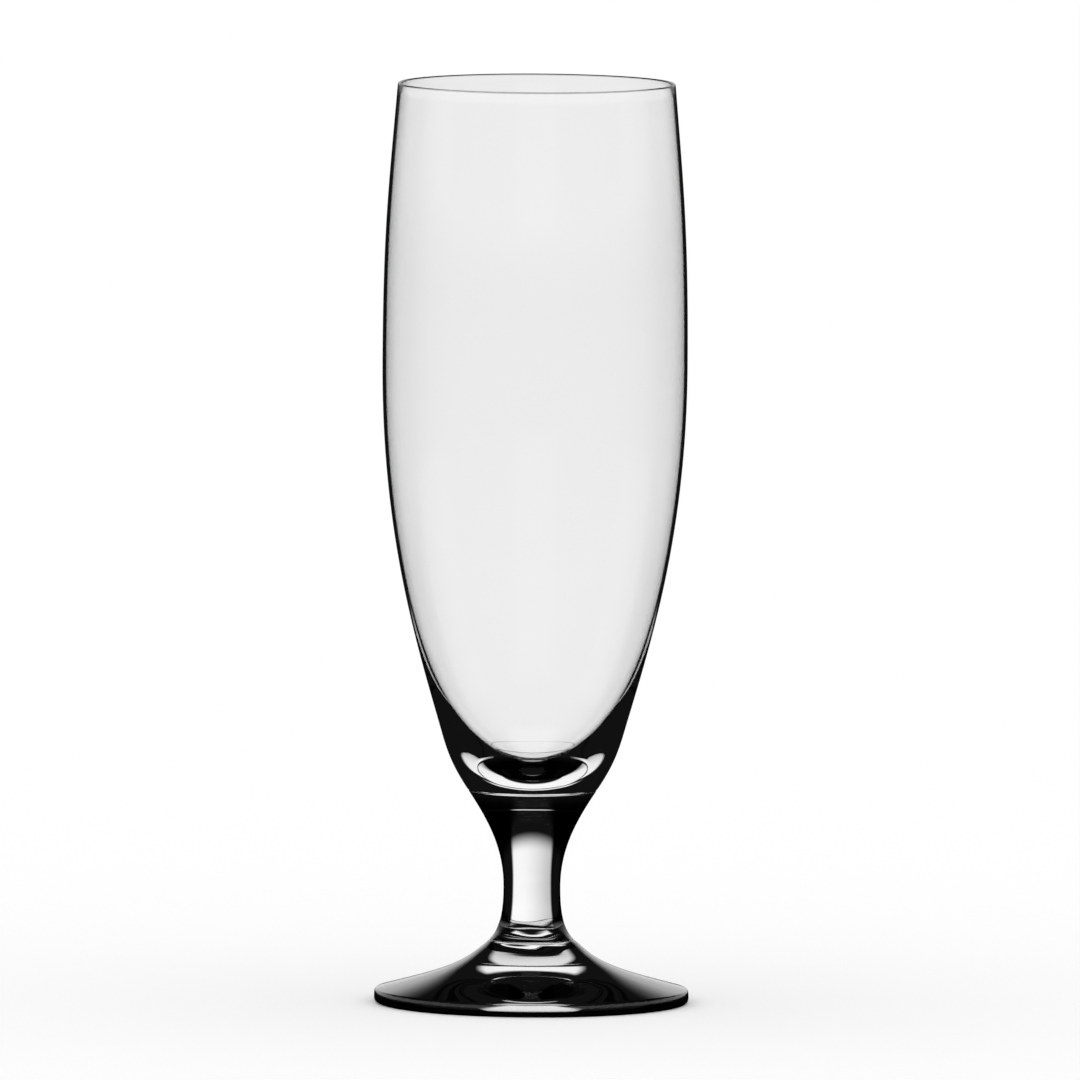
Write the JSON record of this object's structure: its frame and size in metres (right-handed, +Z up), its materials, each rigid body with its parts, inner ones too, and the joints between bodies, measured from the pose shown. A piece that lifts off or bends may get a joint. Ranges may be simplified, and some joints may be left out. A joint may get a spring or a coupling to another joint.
{
  "type": "pilsner glass",
  "caption": "Tall footed beer glass: a slim tulip bowl with a thin rim on a short solid waisted stem and a low cone-shaped foot.",
  "frame": {"origin": "centre of the flat ring that the foot stands on, at table level", "axes": "+Z up along the glass's axis of revolution, from the foot to the rim; X and Y are any two level directions"},
  "size_m": [0.07, 0.07, 0.205],
  "materials": {
    "bowl_glass": "clear colourless glass, blown, polished rim",
    "stem_glass": "clear colourless glass, solid, smooth",
    "foot_glass": "clear colourless glass, solid, pressed and fire-polished"
  },
  "bodies": {
    "root": {"bowl": "bowl_glass", "stem": "stem_glass", "foot": "foot_glass"}
  },
  "joints": []
}
